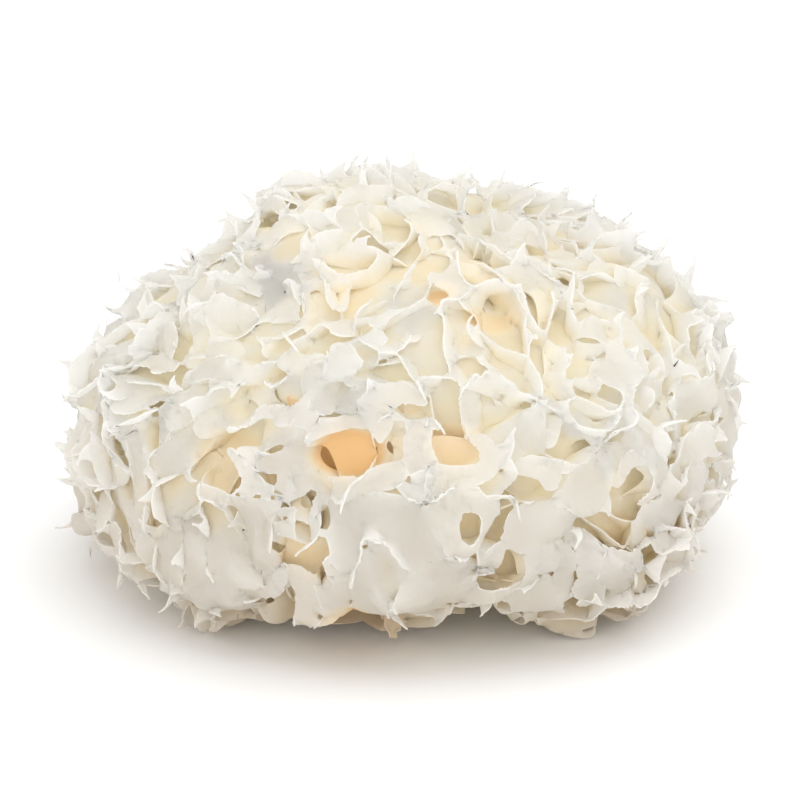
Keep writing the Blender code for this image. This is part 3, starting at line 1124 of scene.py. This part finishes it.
def frond_material(looks):
    """Dry translucent frond: near white tips, cream to orange pockets partly painted shade and glow, free
    edges with a painted highlight and a brown base
    """
    material, tree, shader, start = new_material("dried_frond")
    deep, shut_in, rim, warmth, brown = (
        start.node("ShaderNodeAttribute", attribute_name=mark, output="Fac")
        for mark in ("pocket_depth", "shut_in", "free_edge", "warmth", "browned")
    )
    where = start.node("ShaderNodeTexCoord", output="Object")
    cloud = start.node("ShaderNodeTexNoise", {"Vector": where, "Scale": CLOUD_SCALE, "Detail": 1.0})
    crinkle = start.node("ShaderNodeTexNoise", {"Vector": where, "Scale": CRINKLE_SCALE, "Detail": 3.0})
    # Painted shade: deep and shut-in places are tinted towards the pocket shade colour, varied by clouds
    shade = DEEP_SHADE * deep + SHUT_IN_SHADE * shut_in + CLOUD_SHADE * (cloud - 0.5)
    shade = shade.between(*SHADE_RANGE)
    tint = shade.blend(tuple(looks.tip_colour), tuple(looks.pocket_shade_colour))
    # Honey and warm pockets: partly the fronds' own warmer tone, partly painted glow and shade deep in them
    tint = warmth.between(*HONEY_RANGE).blend(tint, tuple(looks.honey_tone_and_glow_colour))
    tint = warmth.between(*WARM_RANGE).blend(tint, tuple(looks.warm_tone_and_glow_colour))
    # Painted highlight: free edges are lightened towards the edge highlight colour, less in warm pockets
    tint = (EDGE_HIGHLIGHT * rim * (1 - warmth)).held().blend(tint, tuple(looks.edge_highlight_colour))
    # The base's own brown, and painted shade on the low fronds, at the left and in a hollow by the base
    patchy = BROWN_AND_SHADE_CLOUD[0] + BROWN_AND_SHADE_CLOUD[1] * cloud
    tint = (brown * patchy).held().blend(tint, tuple(looks.brown_and_shade_colour))
    share = looks.see_through * (1 - WARM_DIM * warmth) * (1 - SHADE_DIM * shade) * (1 - BROWN_AND_SHADE_DIM * brown)
    crinkled = {"Strength": CRINKLE_STRENGTH, "Distance": CRINKLE_HEIGHT, "Height": crinkle}
    bump = start.node("ShaderNodeBump", crinkled)
    tree.links.new(bump.socket, shader.inputs["Normal"])
    through = start.node("ShaderNodeBsdfTranslucent", {"Color": tuple(looks.glow_colour), "Normal": bump})
    tree.links.new(tint.socket, shader.inputs["Base Color"])
    rough = FROND_ROUGHNESS[0] + FROND_ROUGHNESS[1] * crinkle
    tree.links.new(rough.socket, shader.inputs["Roughness"])
    mix = start.node("ShaderNodeMixShader", {0: share, 1: Value(tree, shader.outputs[0]), 2: through})
    tree.links.new(mix.socket, tree.nodes["Material Output"].inputs["Surface"])
    return material


def colour_property(name, description, default):
    """A colour that a user can set."""
    return bpy.props.FloatVectorProperty(
        name=name, description=description, default=default, subtype="COLOR", size=4, min=0.0, max=1.0
    )


def length_property(name, description, default):
    """A length that a user can set."""
    return bpy.props.FloatProperty(
        name=name, description=description, default=default, subtype="DISTANCE", unit="LENGTH", precision=5
    )


class FungusLooks(bpy.types.PropertyGroup):
    """Sizes and colours of the fronds."""

    seed: bpy.props.IntProperty(name="Seed", description="Which of many heads to grow", default=11)
    pitch: length_property("Detail", "Width of the smallest face", 0.00076)
    thickness: length_property("Thickness", "Thickness of the fronds", 0.00028)
    ruffle: length_property("Ruffle", "How far the free edges wave", 0.0008)
    tip_colour: colour_property("Tips", "Colour of the frond tips", (0.930, 0.936, 0.942, 1.0))
    # Painted highlight: the colour that free edges are lightened towards
    edge_highlight_colour: colour_property("Edges", "Colour of the thin free edges", (0.962, 0.961, 0.944, 1.0))
    # Painted shade: the colour that deep and shut-in places of a frond are tinted towards
    pocket_shade_colour: colour_property("Pockets", "Colour deep between the fronds", (0.943, 0.862, 0.645, 1.0))
    # Honey and warm pockets: partly the fronds' own tone, partly painted glow and shade
    honey_tone_and_glow_colour: colour_property("Honey", "Colour of pockets that are half warm", (0.93, 0.80, 0.54, 1.0))
    warm_tone_and_glow_colour: colour_property("Warm pockets", "Colour of the warmest pockets", (0.84, 0.52, 0.22, 1.0))
    # The base's own brown, also painted as shade on the low fronds and in a hollow by the base
    brown_and_shade_colour: colour_property("Base", "Colour of the base and lowest fronds", (0.60, 0.44, 0.24, 1.0))
    glow_colour: colour_property("Glow", "Colour of light through a frond", (0.985, 0.979, 0.961, 1.0))
    see_through: bpy.props.FloatProperty(
        name="Translucent share", description="Share of light that passes through a frond", default=0.77
    )


class StageLooks(bpy.types.PropertyGroup):
    """The floor, the light and the camera."""

    floor_colour: colour_property("Floor", "Colour of the floor", (0.96, 0.96, 0.96, 1.0))
    sky_strength: bpy.props.FloatProperty(name="Sky", description="Strength of the even light", default=1.0)
    key_power: bpy.props.FloatProperty(
        name="Key light", description="Power of the large soft light overhead", default=2.3, subtype="POWER"
    )
    fill_power: bpy.props.FloatProperty(
        name="Fill light", description="Power of the soft light from the front", default=1.6, subtype="POWER"
    )
    bounces: bpy.props.IntProperty(name="Bounces", description="How often light may bounce", default=8)
    elevation: bpy.props.FloatProperty(
        name="Elevation",
        description="How far down the camera looks",
        default=math.radians(20),
        subtype="ANGLE",
    )
    distance: length_property("Distance", "From the camera to the head", 0.62)
    pixel: length_property("Pixel", "Width of one pixel at the head", 0.0001662)


def browned(points):
    """How brown the fronds are, with painted shade: brown at the trimmed base and faintly all round the
    bottom.
    """
    from_base = np.hypot(points[:, 0], points[:, 1])
    at_base = 1 - smooth_step(*BASE_FADE, from_base)
    at_base = at_base * (1 - smooth_step(*BASE_RISE, points[:, 2]))
    low = LOW_BROWN_AND_SHADE * (1 - smooth_step(0.0, LOW_TOP, points[:, 2]))
    left = smooth_step(*LEFT_FADE, -points[:, 0])
    faint = (FAINT_BROWN_AND_SHADE + LEFT_PAINTED_SHADE * left) * (1 - smooth_step(0.0, FAINT_TOP, points[:, 2]))
    from_hollow = np.linalg.norm(points - SHADED_HOLLOW, axis=1)
    hollow = HOLLOW_PAINTED_SHADE * (1 - smooth_step(*HOLLOW_FADE, from_hollow))
    return np.maximum.reduce([at_base, low, faint, hollow])


def sector_of(ways):
    """Which piece each direction belongs to: six round the sides, two on the crown and the underside."""
    middles = np.stack([ways_at(bearing, level) for bearing, level in PIECE_MIDDLES])
    return np.argmax(ways @ middles.T, axis=1)


def warmth_of(points, outward, down, pockets, grid):
    """How warm the fronds are, in the front's pockets and in wider areas: their own tone with painted glow
    and shade, more deep down.
    """
    warm = np.zeros(len(points))
    for pocket in pockets:
        inside = 1 - smooth_step(*POCKET_FADE, pocket.away(points))
        inside *= smooth_step(*POCKET_SINK, down) * (outward @ pocket.way > POCKET_SPREAD)
        warm = np.maximum(warm, pocket.warmth * inside)
    heat = np.clip(0.5 + 0.5 * grid.read(grid.noise(PATCH_SIZE), points), 0, PATCH_MOST)
    sunk = smooth_step(*AREA_SINK, down)
    for bearing, height, spread, warmth in WARM_AREAS:
        near = (outward @ ways_at(bearing, height) - 1) / math.radians(spread) ** 2
        warm = np.maximum(warm, warmth * heat * np.exp(near) * sunk)
    return warm


def scrap_shape(root, tip, width, curl, chance):
    """A small ragged leaf from its root to its tip, curled across and along."""
    along = tip - root
    side = np.cross(along, [0.0, 1.0, 0.0])
    side /= np.linalg.norm(side)
    rise = np.cross(side, along / np.linalg.norm(along))
    ragged = 1 + SCRAP_RAGGED * chance.standard_normal((SCRAP_ROWS + 1, 2))
    points = []
    for row in range(SCRAP_ROWS + 1):
        t = row / SCRAP_ROWS
        bulge = math.sin(math.pi * min(1.0, BULGE_START + BULGE_PACE * t))
        half = 0.5 * width * (SCRAP_NARROW + SCRAP_WIDER * bulge)
        for column in range(SCRAP_COLUMNS + 1):
            s = 2 * column / SCRAP_COLUMNS - 1
            reach = half * s * ragged[row, int(s > 0)]
            lift = curl * (CURL_ALONG * t * t + CURL_ACROSS * s * s - CURL_DOWN)
            points.append(root + along * t + side * reach + rise * lift)
    numbers = np.arange(len(points)).reshape(SCRAP_ROWS + 1, SCRAP_COLUMNS + 1)
    return np.array(points), quads_between(numbers)


def openness(points, quads, edges):
    """Share of the directions round each point from which light comes straight in, smoothed."""
    tree = BVHTree.FromPolygons(points.tolist(), quads.tolist())
    ways = [Vector(way) for way in even_ways(OPEN_WAYS)]
    free, known = np.zeros(len(points)), np.zeros(len(points))
    for index in range(0, len(points), 2):
        place = Vector(points[index])
        open_ways = sum(tree.ray_cast(place + way * OPEN_GAP, way, OPEN_REACH)[0] is None for way in ways)
        free[index], known[index] = open_ways / len(ways), 1
    for _ in range(OPEN_ROUNDS):
        total = with_neighbours(free * known, free * known, edges)
        number = with_neighbours(known, known, edges)
        free = total / np.maximum(number, 1)
        known = (number > 0).astype(float)
    return free


class FUNGUS_OT_fronds(bpy.types.Operator):
    """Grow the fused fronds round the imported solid's pockets"""

    bl_idname = "fungus.fronds"
    bl_label = "Grow the fronds"

    def execute(self, context):
        looks = context.scene.fungus_looks
        solid = frame["nodes"][NODE].data
        corners = [vertex.co for vertex in solid.vertices]
        tree = BVHTree.FromPolygons(corners, [face.vertices for face in solid.polygons])
        chance = np.random.default_rng(looks.seed)
        dome = Dome(tree)
        grid = Grid(looks.pitch, chance)
        under = underside_heights(tree, grid)
        pockets = [Pocket(dome, row) for row in FRONT_POCKETS]
        cells = Cells(dome, chance, pockets)
        label, depth, junction = label_grid(grid, cells, dome, under)
        points, quads, owners = kept_walls(grid, cells, pockets, label, depth, junction)
        quads, owners = seen_patches(points, quads, owners, chance)
        quads, owners = pruned(quads, owners)
        points, quads, owners = main_piece(points, quads, owners)
        points, near_edge = relax(points, quads)
        points, quads, owners, near_edge = add_hooks(points, quads, owners, near_edge, dome, pockets, chance)
        arms = points - GROWTH_CENTRE
        far = np.linalg.norm(arms, axis=1)
        outward = arms / far[:, None]
        down = dome.reach(outward) - far
        share, size = FINE_RUFFLE
        ruffles = [grid.read(share * grid.noise(size) + grid.noise(RUFFLE_SIZE), points) for _ in range(3)]
        strength = looks.ruffle * (INNER_RUFFLE + EDGE_RUFFLE * near_edge)
        strength = strength * (1 - smooth_step(*RUFFLE_FADE, down))
        points = points + np.stack(ruffles, axis=1) * strength[:, None]
        points[:, 2] = np.maximum(points[:, 2], 0.5 * looks.thickness)
        warmth = warmth_of(points, outward, down, pockets, grid)
        edges, _ = edges_of(quads)
        marks = {
            # pocket_depth and shut_in set how much painted shade the fronds' colour gets
            "pocket_depth": smooth_step(*DEEP_FADE, down),
            # free_edge sets the painted highlight on the edges
            "free_edge": near_edge,
            # warmth: the pockets' own warmer tone with painted glow and shade
            "warmth": warmth,
            "shut_in": 1 - smooth_step(*SHUT_IN_FADE, openness(points, quads, edges)),
            # brown at the base, and painted shade towards the floor and in a hollow by the base
            "browned": browned(points),
        }
        material = frond_material(looks)
        sector = sector_of(cells.way[owners[:, 1] % cells.count])
        for number in np.unique(sector):
            used, faces = renumbered(quads[sector == number])
            piece = add_faces(f"fronds_{number}", points[used], faces)
            marked = {name: values[used] for name, values in marks.items()}
            finish_piece(piece, marked, material, looks.thickness)
        return {"FINISHED"}


class FUNGUS_OT_scraps(bpy.types.Operator):
    """Hang the stray frond at the side and the torn brown flake by the base"""

    bl_idname = "fungus.scraps"
    bl_label = "Hang the loose scraps"

    def execute(self, context):
        looks = context.scene.fungus_looks
        chance = np.random.default_rng(looks.seed + 1)
        fronds = [piece for piece in bpy.data.objects if piece.name.startswith("fronds_")]
        if not fronds:
            raise RuntimeError("the scraps hang from the fronds, so the fronds come first")
        for name, root, tip, width, curl, brown in SCRAPS:
            root = Vector(root)
            hits = [piece.closest_point_on_mesh(root) for piece in fronds]
            start = min((hit[1] for hit in hits if hit[0]), key=lambda place: (place - root).length)
            points, quads = scrap_shape(np.array(start), np.array(tip), width, curl, chance)
            levels = {
                "pocket_depth": SCRAP_DEPTH,
                "free_edge": SCRAP_EDGE,
                "warmth": 0.0,
                "shut_in": SCRAP_SHUT_IN * brown,
                "browned": brown,
            }
            marks = {mark: np.full(len(points), level) for mark, level in levels.items()}
            finish_piece(add_faces(name, points, quads), marks, fronds[0].data.materials[0], looks.thickness)
        return {"FINISHED"}


class FUNGUS_OT_stage(bpy.types.Operator):
    """Set the floor, the light and the camera"""

    bl_idname = "fungus.stage"
    bl_label = "Set the stage"

    def execute(self, context):
        looks = context.scene.stage_looks
        scene = context.scene
        material, tree, shader, start = new_material("floor")
        where = start.node("ShaderNodeTexCoord", output="Object")
        faint = start.node("ShaderNodeTexNoise", {"Vector": where, "Scale": FLOOR_CLOUD_SCALE, "Detail": 2.0})
        plain = tuple(looks.floor_colour)
        tint = faint.blend(plain, tuple(FLOOR_CLOUD * part for part in plain[:3]) + (1.0,))
        tree.links.new(tint.socket, shader.inputs["Base Color"])
        shader.inputs["Roughness"].default_value = FLOOR_ROUGHNESS
        shader.inputs["Specular IOR Level"].default_value = FLOOR_SHINE
        bpy.ops.mesh.primitive_plane_add(size=FLOOR_WIDTH)
        floor = context.object
        floor.name = "floor"
        floor.data.materials.append(material)
        world = bpy.data.worlds.new("sky")
        world.use_nodes = True
        world.node_tree.nodes["Background"].inputs["Color"].default_value = (1.0, 1.0, 1.0, 1.0)
        world.node_tree.nodes["Background"].inputs["Strength"].default_value = looks.sky_strength
        scene.world = world
        scene.cycles.diffuse_bounces = looks.bounces
        for name, power, width, place in LIGHTS:
            lamp = bpy.data.lights.new(name, "AREA")
            lamp.energy = getattr(looks, power)
            lamp.size = width
            light = bpy.data.objects.new(name, lamp)
            light.location = place
            light.rotation_euler = (LOOK_AT - light.location).to_track_quat("-Z", "Y").to_euler()
            scene.collection.objects.link(light)
        camera = bpy.data.cameras.new("camera")
        viewer = bpy.data.objects.new("camera", camera)
        scene.collection.objects.link(viewer)
        scene.camera = viewer
        up = looks.elevation
        viewer.location = LOOK_AT + Vector((0.0, -math.cos(up), math.sin(up))) * looks.distance
        viewer.rotation_euler = (LOOK_AT - viewer.location).to_track_quat("-Z", "Y").to_euler()
        camera.sensor_width = 36.0
        camera.lens = camera.sensor_width * looks.distance / (PICTURE_WIDTH * looks.pixel)
        camera.clip_start = 0.01
        camera.clip_end = 20.0
        row = FOOT_ROW - LOOK_AT.z * math.cos(up) / looks.pixel
        camera.shift_y = (row - PICTURE_WIDTH / 2) / PICTURE_WIDTH
        scene.view_settings.view_transform = "Standard"
        return {"FINISHED"}


class FUNGUS_PT_sidebar(bpy.types.Panel):
    """Lists the steps that make the head"""

    bl_idname = "FUNGUS_PT_sidebar"
    bl_label = "Dried snow fungus"
    bl_space_type = "VIEW_3D"
    bl_region_type = "UI"
    bl_category = "Fungus"

    def draw(self, context):
        for step in STEPS:
            self.layout.operator(step.bl_idname)
        for group in (context.scene.fungus_looks, context.scene.stage_looks):
            for name in group.__annotations__:
                self.layout.prop(group, name)


STEPS = (FUNGUS_OT_fronds, FUNGUS_OT_scraps, FUNGUS_OT_stage)
CLASSES = (FungusLooks, StageLooks, *STEPS, FUNGUS_PT_sidebar)


def register():
    for kind in CLASSES:
        bpy.utils.register_class(kind)
    bpy.types.Scene.fungus_looks = bpy.props.PointerProperty(type=FungusLooks)
    bpy.types.Scene.stage_looks = bpy.props.PointerProperty(type=StageLooks)


def unregister():
    del bpy.types.Scene.stage_looks
    del bpy.types.Scene.fungus_looks
    for kind in reversed(CLASSES):
        bpy.utils.unregister_class(kind)


def main():
    register()
    bpy.ops.fungus.fronds()
    bpy.ops.fungus.scraps()
    bpy.ops.fungus.stage()


if __name__ == "__main__":
    main()
